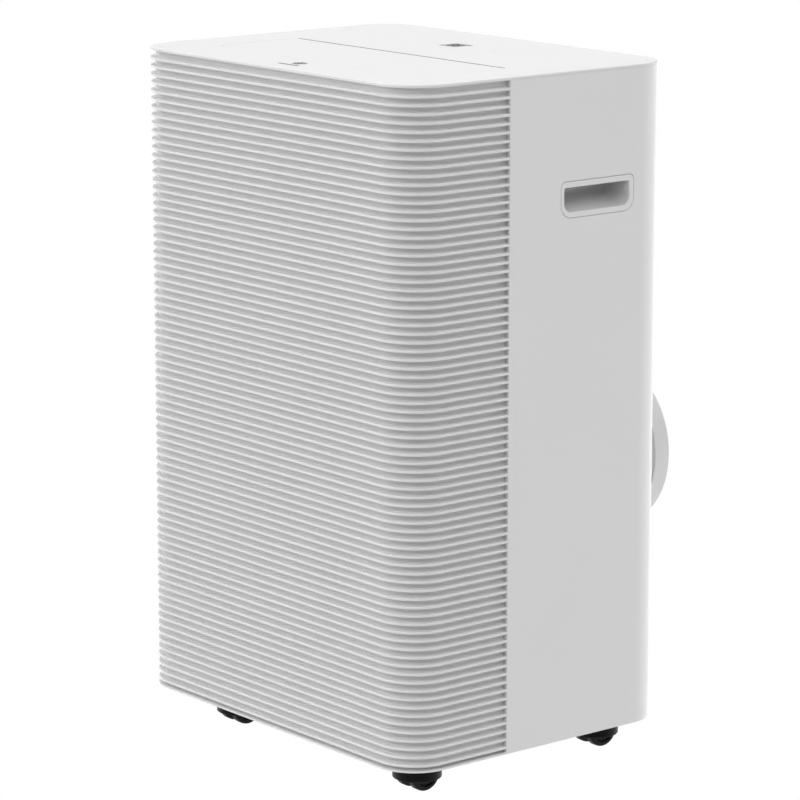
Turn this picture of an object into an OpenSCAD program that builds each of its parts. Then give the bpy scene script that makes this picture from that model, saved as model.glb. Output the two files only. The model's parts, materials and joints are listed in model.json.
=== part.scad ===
// Portable air conditioner on four castors, with a ribbed front casing, a powered louvre flap in the top,
// a carrying recess in each side and a round exhaust collar at the rear. Millimetres, +Z up.
// The origin is on the floor, under the middle of the object's bounding box. The front faces -Y.

/* [Casing] */
// Width of the casing
body_w = 450; // [445:1:480]
// Depth of the casing, without the exhaust collar
body_d = 345; // [343:1:360]
// Height of the top face above the floor
body_h = 714; // [712:1:760]
// Radius of the four upright corners
corner_r = 44; // [42:1:48]
// Height of the casing's lower edge above the floor
floor_gap = 32.5; // [32:0.5:33]
// Thickness of the top face
top_t = 3; // [3:0.5:3.5]
// Wall of the smooth side and rear panels
panel_t = 3; // [2.5:0.5:3]

/* [Ribs] */
// Distance from one rib to the next
rib_pitch = 8.5; // [8:0.5:10]
// Thickness of a rib at its root
rib_t = 3; // [2.5:0.1:3.5]
// Depth of the grooves between the ribs
rib_depth = 5; // [4:0.5:5]
// Length of the ribbed part of each side, from the front face
ribbed_side = 127; // [110:1:130]

/* [Louvre] */
// Width of the louvre flap
flap_w = 334; // [330:1:336]
// Depth of the louvre flap
flap_d = 106; // [104:1:108]
// Distance from the front face to the flap's front edge
flap_front = 62.5; // [62:0.5:63]
// Distance from one air vane to the next
vane_pitch = 60; // [50:1:62]

/* [Exhaust] */
// Outer radius of the exhaust collar
collar_r = 88; // [86:0.5:89]
// Length of the exhaust collar behind the rear panel
collar_len = 60; // [50:1:60]
// Height of the exhaust collar's centre
collar_z = 290; // [286:1:290]
// Sideways place of the exhaust collar's centre
collar_x = 73; // [72:1:76]

/* [Castors] */
// Radius of a castor wheel
wheel_r = 18; // [17.5:0.5:18]
// Radius of a castor's round hood
hood_r = 25; // [25:0.5:26]
// Sideways place of the right-hand castors
castor_right_x = 173; // [160:1:174]
// Sideways place of the left-hand castors
castor_left_x = -122.5; // [-150:0.5:-110]

/* [Hidden] */
$fn = 96;
fine = 32;
shell_wall = 2.5;
shell_t = shell_wall + rib_depth;
half_w = body_w / 2;
front_y = -(body_d + collar_len) / 2;
rear_y = front_y + body_d;
mid_y = (front_y + rear_y) / 2;
split_y = front_y + ribbed_side;
under_top = body_h - top_t;
seam = 0.3;
rib_count = floor((under_top - floor_gap) / rib_pitch);
rib_draft = 0.4;
lip_t = 2;
rim_w = 10;

flap_y0 = front_y + flap_front;
flap_y1 = flap_y0 + flap_d;
flap_r = 17;
hinge_y = flap_y1 - 4;
hinge_z = body_h - 6;
hinge_r = 1.6;
flap_slot = 2.5;
duct_x = flap_w / 2 + 0.5;
duct_y0 = flap_y0 + 1;
duct_y1 = flap_y1 + 4;
duct_wall = 2.5;
duct_top = under_top - seam;
duct_flare_z = 640;
duct_throat_x = -50;
cheek_x = 176;
vane_count = 5;
vane_y = (duct_y0 + duct_y1) / 2;
vane_z0 = 656;
vane_z1 = 694;
vane_bar_z = 648;
crank_r = 25;

rear_in = rear_y - panel_t;
tab_w = 11;
screw_x = half_w - corner_r - tab_w / 2;
screw_z = [88, 215, 375, 540, 690];
screw_r = 2;

upper_x = 165;
upper_z0 = 400;
upper_z1 = 680;
lower_x0 = -166;
lower_x1 = -24;
lower_z0 = 80;
lower_z1 = 335;
slot_h = 5.5;

handle_y0 = -9;
handle_y1 = 88;
handle_z0 = 568;
handle_z1 = 605;
handle_r_top = 6;
handle_r_low = 14;
grip_y0 = -4;
grip_y1 = 82;
grip_z0 = 574;
grip_z1 = 598.5;
grip_depth = 35;
hook = 13;

deck_z = 366;
deck_t = 6;
base_floor = 42;
base_t = 4;
base_wall_z = 75;
axle_z = wheel_r;
hood_z0 = 12.5;
hood_wall = 1.6;
hood_z1 = base_floor - seam;
trail = 6;
stem_r = 5;
castor_front_y = front_y + 54;
castor_rear_y = rear_y - 53;
castors = [[castor_right_x, castor_front_y], [castor_left_x, castor_front_y],
           [castor_right_x, castor_rear_y], [castor_left_x, castor_rear_y]];

evap_z = 500;
evap_r = 115;
duct_bottom = evap_z + evap_r;
evap_y0 = -146;
evap_y1 = -66;
cond_x = -75;
cond_z = 205;
cond_r = 90;
outlet_rise = 12;
cond_y0 = -25;
cond_y1 = 55;
shaft_r = 4;
running = 0.05;
fin_pitch = 8;
fin_t = 1;
compressor_at = [115, -95];
accumulator_at = [28, -112];
plug_r = 6;
spigot_r = 71;
spigot_len = 14;
elbow_r = 75;
elbow_wide_y = 60;
elbow_narrow_x = 16;
upper_drain = [-120, 378];
lower_drain = [40, 56];
cord_at = [150, 120];
cord_r = 4.5;

// ---- Shared shapes

// A block between two opposite corners
module block(lo, hi) translate(lo) cube(hi - lo);

// A round bar along X, Y or Z
module bar_x(x0, x1, y, z, r) translate([x0, y, z]) rotate([0, 90, 0]) cylinder(h = x1 - x0, r = r);
module bar_y(y0, y1, x, z, r) translate([x, y0, z]) rotate([-90, 0, 0]) cylinder(h = y1 - y0, r = r);
module bar_z(z0, z1, x, y, r) translate([x, y, z0]) cylinder(h = z1 - z0, r = r);

// A flat shape drawn in X and Z, thickened from y0 to y1
module xz_slab(y0, y1) translate([0, y1, 0]) rotate([90, 0, 0]) linear_extrude(y1 - y0) children();

// A flat shape drawn in Y and Z, thickened from x0 to x1
module yz_slab(x0, x1) translate([x0, 0, 0]) rotate([90, 0, 90]) linear_extrude(x1 - x0) children();

// A flat rectangle between two opposite corners
module rect(x0, y0, x1, y1) translate([x0, y0]) square([x1 - x0, y1 - y0]);

// A rectangle with one radius for its two upper corners and another for its lower ones
module round_rect(x0, y0, x1, y1, r_top, r_low) {
    rect(x0 + r_low, y0, x1 - r_low, y0 + r_low);
    rect(x0, y0 + r_low, x1, y1 - r_top);
    rect(x0 + r_top, y1 - r_top, x1 - r_top, y1);
    for (x = [x0 + r_low, x1 - r_low]) translate([x, y0 + r_low]) circle(r_low);
    for (x = [x0 + r_top, x1 - r_top]) translate([x, y1 - r_top]) circle(r_top);
}

// The casing's plan outline, moved inwards by inset
module outline(inset) {
    x = half_w - inset;
    round_rect(-x, front_y + inset, x, rear_y - inset, corner_r - inset, corner_r - inset);
}

module plate(inset, z0, z1) translate([0, 0, z0]) linear_extrude(z1 - z0) outline(inset);

module mirrored(side) mirror([side < 0 ? 1 : 0, 0, 0]) children();

// ---- Casing

// Section of the ribbed wall: x is the distance outwards from its inner face
function rib_section() = concat(
    [[0, floor_gap], [shell_t, floor_gap], [shell_t, floor_gap + lip_t], [shell_wall, floor_gap + lip_t]],
    [for (i = [1:rib_count], p = [[shell_wall, -rib_t], [shell_t, rib_draft - rib_t],
                                  [shell_t, -rib_draft], [shell_wall, 0]])
        [p.x, floor_gap + i * rib_pitch + p.y]],
    [[shell_wall, under_top], [0, under_top]]);

module front_grille() color("white") {
    straight = half_w - corner_r;
    yz_slab(-straight, straight) polygon([for (p = rib_section()) [front_y + shell_t - p.x, p.y]]);
    for (side = [-1, 1]) mirrored(side) {
        translate([straight, front_y + corner_r, 0]) rotate_extrude(angle = 90, start = 270)
            polygon([for (p = rib_section()) [corner_r - shell_t + p.x, p.y]]);
        xz_slab(front_y + corner_r, split_y) polygon([for (p = rib_section()) [half_w - shell_t + p.x, p.y]]);
    }
}

module handle_hole() round_rect(handle_y0, handle_z0, handle_y1, handle_z1, handle_r_top, handle_r_low);

// A side wall that turns the rear corner, with a tab behind the rear panel's edge
module side_panel(side) color("white") mirrored(side) difference() {
    turn_x = half_w - corner_r;
    union() {
        block([half_w - panel_t, split_y, floor_gap], [half_w, rear_y - corner_r, under_top]);
        block([half_w - shell_t, split_y, floor_gap], [half_w - panel_t, split_y + 4, under_top]);
        translate([turn_x, rear_y - corner_r, 0]) rotate_extrude(angle = 90)
            rect(corner_r - panel_t, floor_gap, corner_r, under_top);
        block([turn_x - tab_w, rear_in - panel_t, floor_gap], [turn_x, rear_in, under_top]);
        block([turn_x, rear_in - panel_t, floor_gap], [turn_x + 6, rear_in + 1, under_top]);
    }
    yz_slab(half_w - shell_t, half_w + 1) handle_hole();
    for (z = screw_z) bar_y(rear_in - 2 * panel_t, rear_in + 1, screw_x, z, screw_r + 0.1);
}

module side_panel_right() side_panel(1);
module side_panel_left() side_panel(-1);

// A rectangular grille with rows of slots between x0 and x1
module slotted(x0, z0, x1, z1, columns) difference() {
    edge = 6;
    bar = 6;
    rows = floor((z1 - z0 - 2 * edge) / rib_pitch);
    column = (x1 - x0 - 2 * edge - (columns - 1) * bar) / columns;
    rect(x0, z0, x1, z1);
    for (i = [0:rows - 1], j = [0:columns - 1])
        translate([x0 + edge + j * (column + bar), z0 + edge + i * rib_pitch]) square([column, slot_h]);
}

module rear_panel() color("white") difference() {
    x = half_w - corner_r;
    block([-x, rear_in, floor_gap], [x, rear_y, under_top]);
    xz_slab(rear_in - 1, rear_y + 1) {
        rect(-upper_x, upper_z0, upper_x, upper_z1);
        rect(lower_x0, lower_z0, lower_x1, lower_z1);
        translate([collar_x, collar_z]) circle(spigot_r + seam);
        for (p = [upper_drain, lower_drain]) translate(p) circle(plug_r + seam);
        translate(cord_at) circle(10);
        for (side = [-1, 1], z = screw_z) translate([side * screw_x, z]) circle(screw_r + 0.1);
    }
}

module top_rim() color("white") {
    difference() {
        plate(0, under_top, body_h);
        plate(rim_w, under_top - 1, body_h + 1);
    }
    difference() {
        plate(shell_t + 0.5, under_top - 8, under_top);
        plate(rim_w + 6, under_top - 9, under_top + 1);
    }
}

// The flap's plan outline, grown by gap: round front corners and square rear ones
module flap_outline(gap, back_gap) {
    x = flap_w / 2 + gap;
    mirror([0, 1]) round_rect(-x, -flap_y1 - back_gap, x, -flap_y0 + gap, flap_r + gap, 0.01);
}

window_at = [-13, 55];
window_w = 26;

module top_deck() color("white") difference() {
    plate(rim_w + seam, under_top, body_h);
    translate([0, 0, under_top - 1]) linear_extrude(top_t + 2) flap_outline(0.6, flap_slot);
    translate([window_at.x, window_at.y, body_h - 1]) linear_extrude(2) square(window_w, center = true);
}

module display_window() color("gray") translate([window_at.x, window_at.y, body_h - 1])
    linear_extrude(1) square(window_w - 0.2, center = true);

module display_board() color("darkgreen") {
    block([-125, 38, 701], [115, 72, 702.6]);
    for (x = [-112:28:104]) bar_z(702.6, 705, x, 52, 4);
    block([-26, 42, 702.6], [0, 68, 708]);
    for (x = [-120, 110], y = [42, 68]) bar_z(702.6, under_top, x, y, 2.5);
}

// ---- Louvre, air vanes and outlet

module louvre_flap() color("white") {
    translate([0, 0, under_top]) linear_extrude(top_t) flap_outline(0, 0);
    for (side = [-1, 1]) mirrored(side) {
        block([duct_x - 9.5, hinge_y - 4, hinge_z - 2.5], [duct_x - 1.5, hinge_y + 3, under_top]);
        bar_x(duct_x - 2.5, cheek_x - 2, hinge_y, hinge_z, hinge_r);
    }
    for (x = [-120:60:120]) block([x - 1, flap_y0 + 12, under_top - 3], [x + 1, hinge_y - 6, under_top]);
}

// Front outline of the outlet duct: as wide as the flap at the top, and narrowing to the fan's throat
module duct_profile(inset) {
    x = duct_x + duct_wall - inset;
    flare_z = duct_flare_z + inset / 2;
    polygon([[-x, duct_top + inset], [-x, flare_z], [duct_throat_x + inset, duct_bottom - inset],
             [evap_r - inset, duct_bottom - inset], [x, flare_z], [x, duct_top + inset]]);
}

module outlet_duct() color("gainsboro") difference() {
    union() {
        xz_slab(duct_y0 - duct_wall, duct_y1 + duct_wall) duct_profile(0);
        for (side = [-1, 1]) mirrored(side)
            block([duct_x, hinge_y - 6, hinge_z - 10], [cheek_x, hinge_y + 5, duct_top]);
    }
    xz_slab(duct_y0, duct_y1) duct_profile(duct_wall);
    for (side = [-1, 1]) mirrored(side) bar_x(duct_x - 1, cheek_x + 1, hinge_y, hinge_z, hinge_r + running);
}

module flap_motor() color("silver") difference() {
    union() {
        bar_x(cheek_x, cheek_x + 14, hinge_y, hinge_z - 14, 12);
        block([cheek_x, hinge_y - 18, hinge_z - 16], [cheek_x + 2, hinge_y + 18, hinge_z - 12]);
    }
    bar_x(cheek_x - 1, cheek_x + 4, hinge_y, hinge_z - 14, 3);
}

vane_x0 = -(vane_count - 1) / 2 * vane_pitch;
pin_r = 2;
link_pin_r = 1.5;

module vane_frame() color("gainsboro") difference() {
    block([-duct_x, vane_y - 6, vane_bar_z], [duct_x, vane_y + 6, vane_bar_z + 6]);
    for (i = [0:vane_count - 1])
        bar_z(vane_bar_z - 1, vane_bar_z + 7, vane_x0 + i * vane_pitch, vane_y, pin_r + running);
}

// One upright vane: its blade, its pivot pin and the small pin that the link pushes
module vane(number) color("whitesmoke") translate([vane_x0 + (number - 1) * vane_pitch, vane_y, 0]) {
    block([-1.2, -34, vane_z0], [1.2, 34, vane_z1]);
    bar_z(vane_z0 - 12, vane_z0 + 3, 0, 0, pin_r);
    bar_z(vane_z0 + 2, vane_z1, 0, 0, pin_r + 1);
    bar_z(vane_z0 - 5, vane_z0 + 2, 0, -crank_r, link_pin_r);
}

module vane_1() vane(1);
module vane_2() vane(2);
module vane_3() vane(3);
module vane_4() vane(4);
module vane_5() vane(5);

module vane_link() color("gray") difference() {
    x = -vane_x0 + 8;
    block([-x, vane_y - crank_r - 6, vane_z0 - 4.5], [x, vane_y - crank_r + 9, vane_z0 - 2]);
    for (i = [0:vane_count - 1]) {
        at = vane_x0 + i * vane_pitch;
        block([at - link_pin_r - 0.7, vane_y - crank_r - 2.5, vane_z0 - 6],
              [at + link_pin_r + 0.7, vane_y - crank_r + 5, vane_z0]);
    }
}

module vane_motor() color("silver") {
    bar_z(627, vane_z0 - 12 - seam, 0, vane_y, 12);
    for (y = [-16, 16]) block([-4, vane_y + y - 4, vane_z0 - 16], [4, vane_y + y + 4, vane_z0 - 14]);
    block([-4, vane_y - 16, vane_z0 - 16], [4, vane_y + 16, vane_z0 - 14]);
    for (y = [-5, 5]) block([-4, vane_y + y - 1, vane_z0 - 14], [4, vane_y + y + 1, vane_bar_z]);
}

// ---- Side handles

// The hollow that the fingers enter: it scoops up from the lower lip, and rises by hook behind the upper one
module grip_space() intersection() {
    xz_slab(grip_y0, grip_y1) polygon([
        [half_w + 1, grip_z0], [half_w + 1, grip_z1], [half_w - 6, grip_z1], [half_w - 11, grip_z1 + hook],
        [half_w - grip_depth + 2, grip_z1 + hook], [half_w - grip_depth, grip_z1],
        [half_w - grip_depth + 5, grip_z0 + 9], [half_w - 14, grip_z0 + 1]]);
    yz_slab(half_w - grip_depth - 5, half_w + 1)
        round_rect(grip_y0, grip_z0, grip_y1, grip_z1 + hook, 2, 9.5);
}

module handle_cup(side) color("white") mirrored(side) difference() {
    wall = 2.5;
    flange = half_w - panel_t;
    back = half_w - grip_depth - wall;
    edge = 0.35;
    union() {
        yz_slab(flange, half_w)
            round_rect(handle_y0 + edge, handle_z0 + edge, handle_y1 - edge, handle_z1 - edge,
                       handle_r_top - edge, handle_r_low - edge);
        block([back, grip_y0 - wall, grip_z0 - wall], [flange, grip_y1 + wall, grip_z1 + wall]);
        block([back, grip_y0 - wall, grip_z1], [flange - seam, grip_y1 + wall, grip_z1 + hook + wall]);
    }
    grip_space();
}

module handle_cup_right() handle_cup(1);
module handle_cup_left() handle_cup(-1);

// ---- Intake grilles and filters

grille_gap = 0.5;
filter_y = rear_y - 7;

module intake_grille(x0, z0, x1, z1, columns) color("white") xz_slab(filter_y, rear_y)
    slotted(x0 + grille_gap, z0 + grille_gap, x1 - grille_gap, z1 - grille_gap, columns);

module upper_grille() intake_grille(-upper_x, upper_z0, upper_x, upper_z1, 3);
module lower_grille() intake_grille(lower_x0, lower_z0, lower_x1, lower_z1, 2);

// A washable filter: a thin sheet in a frame with crossing bars
module filter(x0, z0, x1, z1) color("dimgray") {
    edge = 6;
    mid_x = (x0 + x1) / 2;
    mid_z = (z0 + z1) / 2;
    xz_slab(filter_y - 4, filter_y) difference() {
        rect(x0, z0, x1, z1);
        for (a = [[x0 + edge, mid_x - 2], [mid_x + 2, x1 - edge]],
             b = [[z0 + edge, mid_z - 2], [mid_z + 2, z1 - edge]])
            rect(a.x, b.x, a.y, b.y);
    }
    block([x0 + 3, filter_y - 2.4, z0 + 3], [x1 - 3, filter_y - 1.6, z1 - 3]);
}

module upper_filter() filter(2 - upper_x, upper_z0 + 2, upper_x - 2, upper_z1 - 2);
module lower_filter() filter(lower_x0 + 2, lower_z0 + 2, lower_x1 - 2, lower_z1 - 2);

// ---- Exhaust and fans

// The collar behind the rear panel, with a groove for the hose's clips and a spigot into the elbow
module exhaust_collar() color("white") translate([collar_x, rear_y, collar_z]) rotate([-90, 0, 0]) {
    wall = 5;
    groove = [26, 40];
    floor_r = collar_r - 2.5;
    rotate_extrude() polygon([
        [collar_r - wall, collar_len], [collar_r, collar_len], [collar_r, groove.y], [floor_r, groove.y],
        [floor_r, groove.x], [collar_r, groove.x], [collar_r, seam], [spigot_r, seam],
        [spigot_r, -spigot_len], [spigot_r - 3, -spigot_len], [spigot_r - 3, 3], [collar_r - wall, 6]]);
}

// The duct from the condenser's fan to the collar: a box that widens behind the fan housing
module elbow_box(wall) {
    x1 = collar_x + elbow_r - wall;
    z0 = collar_z - elbow_r + wall;
    z1 = collar_z + elbow_r - wall;
    block([elbow_narrow_x + wall, cond_y0 + wall, z0], [x1, rear_in - 0.5 - wall, z1]);
    block([collar_x - elbow_r + wall, elbow_wide_y + wall, z0], [x1, rear_in - 0.5 - wall, z1]);
}

module exhaust_elbow() color("gainsboro") difference() {
    wall = 2.5;
    elbow_box(0);
    elbow_box(wall);
    bar_y(rear_in - 5, rear_in + 1, collar_x, collar_z, spigot_r + 0.5);
    block([elbow_narrow_x - 1, cond_y0 + wall, cond_z + outlet_rise + wall],
          [elbow_narrow_x + wall + 1, cond_y1 - wall, cond_z + cond_r - wall]);
}

module condenser_scroll() color("gainsboro") difference() {
    wall = 2.5;
    xz_slab(cond_y0, cond_y1) {
        translate([cond_x, cond_z]) circle(cond_r);
        rect(cond_x, cond_z + outlet_rise, elbow_narrow_x, cond_z + cond_r);
    }
    xz_slab(cond_y0 + wall, cond_y1 - wall) {
        translate([cond_x, cond_z]) circle(cond_r - wall);
        rect(cond_x, cond_z + outlet_rise + wall, elbow_narrow_x + 1, cond_z + cond_r - wall);
    }
    bar_y(cond_y1 - 5, cond_y1 + 1, cond_x, cond_z, 55);
    bar_y(cond_y0 - 1, cond_y0 + 5, cond_x, cond_z, 18);
}

// A centrifugal fan wheel on its shaft: back plate, ring of blades, end ring, boss. It faces +Y
module fan_wheel(x, z, r, y0, y1, shaft_y, blades) color("dimgray") translate([x, 0, z]) {
    blade = 12;
    bar_y(y0, y0 + 3, 0, 0, r);
    bar_y(y0, y0 + 22, 0, 0, 12);
    bar_y(shaft_y, y0 + 1, 0, 0, shaft_r);
    xz_slab(y0 + 2, y1) for (i = [0:blades - 1])
        rotate(i * 360 / blades) translate([r - blade - 2, -1]) rotate(25) square([blade, 1.6]);
    xz_slab(y1 - 3, y1) difference() {
        circle(r);
        circle(r - 11);
    }
}

module condenser_wheel() fan_wheel(cond_x, cond_z, 72, cond_y0 + 9, cond_y1 - 14, -60, 30);
module evaporator_wheel() fan_wheel(0, evap_z, 92, evap_y0 + 9, evap_y1 - 10, -180, 36);

// A fan motor in front of its scroll housing, with a bore for the wheel's shaft
module fan_motor(x, z, r, y0, y1) color("silver") difference() {
    union() {
        bar_y(y0 + 6, y1 - 4, x, z, r);
        bar_y(y0, y0 + 6, x, z, r * 0.45);
        bar_y(y1 - 4, y1, x, z, r * 0.6);
        for (a = [0:90:270])
            translate([x, 0, z]) rotate([0, a, 0]) block([r - 2, y1 - 8, -5], [r + 9, y1, 5]);
    }
    bar_y(y0 + 3, y1 + 1, x, z, shaft_r + running);
}

module condenser_motor() fan_motor(cond_x, cond_z, 38, cond_y0 - 42, cond_y0);
module evaporator_motor() fan_motor(0, evap_z, 42, evap_y0 - 42, evap_y0);

module evaporator_scroll() color("gainsboro") difference() {
    wall = 2.5;
    xz_slab(evap_y0, evap_y1) {
        translate([0, evap_z]) circle(evap_r);
        rect(duct_throat_x, evap_z, evap_r, duct_bottom);
    }
    xz_slab(evap_y0 + wall, evap_y1 - wall) {
        translate([0, evap_z]) circle(evap_r - wall);
        rect(duct_throat_x + wall, evap_z, evap_r - wall, duct_bottom + 1);
    }
    bar_y(evap_y1 - 5, evap_y1 + 1, 0, evap_z, 72);
    bar_y(evap_y0 - 1, evap_y0 + 5, 0, evap_z, 20);
}

// ---- Cooling circuit

// A heat exchanger: fins on straight tubes between two end plates, with return bends at both ends
module coil(x0, x1, y0, y1, z0, z1) {
    row_pitch = 40;
    bend_r = 8;
    bend_room = 12;
    tube_r = 3.5;
    plate_t = 2;
    tubes = floor((z1 - z0) / row_pitch);
    fins = floor((x1 - x0 - 3 * bend_room) / fin_pitch);
    mid = (y0 + y1) / 2;
    color("silver") {
        xz_slab(y0 + 2, y1 - 2) for (i = [0:fins])
            translate([x0 + 1.5 * bend_room + i * fin_pitch, z0]) square([fin_t, z1 - z0]);
        for (x = [x0 + bend_room, x1 - bend_room - plate_t])
            block([x, y0, z0 - 3], [x + plate_t, y1, z1 + 3]);
    }
    color("peru") for (i = [0:tubes - 1]) {
        z = z0 + (i + 0.5) * row_pitch;
        for (end = [-bend_r, bend_r]) bar_x(x0 + bend_room, x1 - bend_room, mid + end, z, tube_r);
        for (side = [-1, 1]) translate([side < 0 ? x0 + bend_room : x1 - bend_room, mid, z])
            rotate([0, 0, side < 0 ? 90 : -90])
                rotate_extrude(angle = 180, $fn = fine) translate([bend_r, 0]) circle(tube_r);
    }
}

module condenser_coil() coil(-192, -6, 84, 124, 72, 350);
module evaporator_coil() coil(-192, 192, 82, 122, 388, 668);

module mid_deck() color("gainsboro") difference() {
    union() {
        plate(shell_t + 1, deck_z, deck_z + deck_t);
        block([-200, 72, deck_z + deck_t], [200, 132, deck_z + deck_t + 12]);
    }
    block([-197, 75, deck_z + 3], [197, 129, deck_z + deck_t + 13]);
    bar_z(deck_z - 1, deck_z + deck_t + 1, 207, 60, 8);
    block([-half_w, 96, deck_z - 1], [3 - half_w + shell_t + 8, 112, deck_z + deck_t + 1]);
    bar_y(128, 140, upper_drain.x, upper_drain.y, plug_r + seam);
}

module compressor() color("#303236") translate([compressor_at.x, compressor_at.y, 0]) difference() {
    union() {
        bar_z(78, 262, 0, 0, 60);
        translate([0, 0, 262]) rotate_extrude() intersection() {
            circle(60);
            square([60, 40]);
        }
        bar_z(66, 80, 0, 0, 48);
        difference() {
            bar_z(62, 66, 0, 0, 72);
            for (a = [30:120:270]) rotate(a) bar_z(61, 67, 60, 0, 6.1);
        }
        block([-14, -8, 295], [14, 12, 312]);
    }
    bar_z(61, 230, 0, 0, 40);
}

module compressor_mounts() color("#1c1c1e") translate([compressor_at.x, compressor_at.y, 0])
    for (a = [30:120:270]) rotate(a) translate([60, 0, 0]) difference() {
        union() {
            bar_z(base_floor + base_t, 61.8, 0, 0, 11);
            bar_z(61.8, 66, 0, 0, 6);
            bar_z(66.2, 70, 0, 0, 10);
            bar_z(66, 66.2, 0, 0, 6);
        }
        bar_z(40, 80, 0, 0, 3.2);
    }

module compressor_bolts() color("silver") translate([compressor_at.x, compressor_at.y, 0])
    for (a = [30:120:270]) rotate(a) {
        bar_z(base_floor + base_t, 74, 60, 0, 3);
        bar_z(70, 74, 60, 0, 6);
    }

module accumulator() color("#303236") {
    bar_z(100, 250, accumulator_at.x, accumulator_at.y, 24);
    bar_z(94, 258, accumulator_at.x, accumulator_at.y, 16);
    block([accumulator_at.x + 20, accumulator_at.y - 6, 150],
          [accumulator_at.x + 28, accumulator_at.y + 6, 162]);
}

// A pipe through a list of points, with a round elbow at each
module pipe(points, r) color("peru") {
    for (i = [0:len(points) - 2]) {
        a = points[i];
        d = points[i + 1] - a;
        length = norm(d);
        translate(a) rotate([0, acos(d.z / length), atan2(d.y, d.x)]) cylinder(h = length, r = r, $fn = fine);
    }
    for (i = [1:len(points) - 2]) translate(points[i]) sphere(r, $fn = fine);
}

module suction_pipe()
    pipe([[accumulator_at.x, accumulator_at.y, 258], [accumulator_at.x, accumulator_at.y, 345],
          [207, accumulator_at.y, 345], [207, 60, 345], [207, 60, 440], [207, 102, 440], [203, 102, 440]], 5);

module discharge_pipe()
    pipe([[compressor_at.x, compressor_at.y, 312], [compressor_at.x, compressor_at.y, 356],
          [-205, compressor_at.y, 356], [-205, 104, 356], [-205, 104, 300], [-201, 104, 300]], 4);

// A helix of thin tube: rings of points along the turns, joined into one skin
function helix_frame(t, r, pitch) = [r * cos(t), r * sin(t), pitch * t / 360];
helix_turns = 4;
helix_step = 24;
helix_sides = 8;
helix_rings = helix_turns * 360 / helix_step;

module capillary_tube() color("peru") translate([-24, -106, 150]) {
    r = 22;
    tube = 1.5;
    points = [for (i = [0:helix_rings], j = [0:helix_sides - 1])
        let (t = i * helix_step, a = j * 360 / helix_sides, rr = r + tube * cos(a))
            helix_frame(t, rr, 7) + [0, 0, tube * sin(a)]];
    skin = [for (i = [0:helix_rings - 1], j = [0:helix_sides - 1])
        let (a = i * helix_sides + j, b = i * helix_sides + (j + 1) % helix_sides)
            [a, b, b + helix_sides, a + helix_sides]];
    first = [for (j = [helix_sides - 1:-1:0]) j];
    last = [for (j = [0:helix_sides - 1]) helix_rings * helix_sides + j];
    polyhedron(points, concat(skin, [first, last]));
}

// ---- Controls and water

module control_box() color("gainsboro") difference() {
    block([-190, -188, 150], [-60, -150, 345]);
    block([-187.5, -185.5, 152.5], [-62.5, -152.5, 342.5]);
}

module main_board() color("darkgreen") {
    block([-182, -184, 158], [-68, -182.4, 337]);
    block([-170, -182.4, 290], [-130, -160, 325]);
    block([-120, -182.4, 300], [-90, -168, 320]);
    for (x = [-170:20:-90]) block([x, -182.4, 170], [x + 12, -172, 184]);
    for (x = [-160, -120]) bar_y(-182.4, -158, x, 230, 12);
}

module capacitor() color("lightgray") {
    bar_z(150, 235, -30, -166, 22);
    for (x = [-36, -24]) block([x - 3, -167, 234], [x + 3, -165, 243]);
    block([-60, -170, 180], [-51, -162, 200]);
}

module splash_pump() color("#303236") {
    bar_z(base_floor + base_t, 66, -165, -60, 24);
    bar_z(66, 104, -165, -60, 18);
    bar_x(-145, -120, -60, 54, 5);
}

module drain_plug(at) color("#26282a") {
    bar_y(rear_y - 12, rear_y + seam, at.x, at.y, plug_r);
    bar_y(rear_y + seam, rear_y + 5, at.x, at.y, 11);
    block([at.x - 1.5, rear_y + 4, at.y - 9], [at.x + 1.5, rear_y + 12, at.y + 9]);
}

module upper_drain_plug() drain_plug(upper_drain);
module lower_drain_plug() drain_plug(lower_drain);

module cord_gland() color("#26282a") translate([cord_at.x, rear_y, cord_at.y]) rotate([-90, 0, 0])
    rotate_extrude() polygon([[cord_r, -10], [9.7, -10], [9.7, 0], [13, 0], [13, 3], [9, 5], [7, 16],
                              [cord_r, 16]]);

module rear_screws() color("silver") for (side = [-1, 1], z = screw_z) {
    bar_y(rear_in - panel_t - 4, rear_y, side * screw_x, z, screw_r);
    bar_y(rear_y, rear_y + 2.2, side * screw_x, z, 3.8);
}

// ---- Base and castors

module base_pan() color("#3a3c3e") difference() {
    wall = 2.5;
    union() {
        difference() {
            plate(shell_t + 0.5, floor_gap + 1.5, base_wall_z);
            plate(shell_t + 0.5 + wall, floor_gap, base_floor);
            plate(shell_t + 0.5 + wall, base_floor + base_t, base_wall_z + 1);
        }
        for (c = castors) bar_z(base_floor + 1, 68, c.x, c.y - trail, 10);
        bar_y(rear_in - 24, rear_in - 5, lower_drain.x, lower_drain.y, 9);
    }
    for (c = castors) bar_z(base_floor - 1, 69, c.x, c.y - trail, stem_r + running);
    bar_y(rear_in - 22, rear_in, lower_drain.x, lower_drain.y, plug_r + seam);
}

wheel_in = 6;
wheel_out = 15.5;
castor_axle_r = 2.5;

module castor_fork(number) color("#141414") translate([castors[number - 1].x, castors[number - 1].y, 0]) {
    difference() {
        union() {
            difference() {
                bar_z(hood_z0, hood_z1, 0, 0, hood_r);
                bar_z(hood_z0 - 1, hood_z1 - 3.5, 0, 0, hood_r - hood_wall);
            }
            block([-wheel_in + seam, -12, axle_z - 7], [wheel_in - seam, 12, hood_z1 - 3]);
        }
        bar_x(-wheel_in - 1, wheel_in + 1, 0, axle_z, castor_axle_r + running);
    }
    bar_z(hood_z1 - 1, 66, 0, -trail, stem_r);
}

module castor_fork_1() castor_fork(1);
module castor_fork_2() castor_fork(2);
module castor_fork_3() castor_fork(3);
module castor_fork_4() castor_fork(4);

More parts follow.
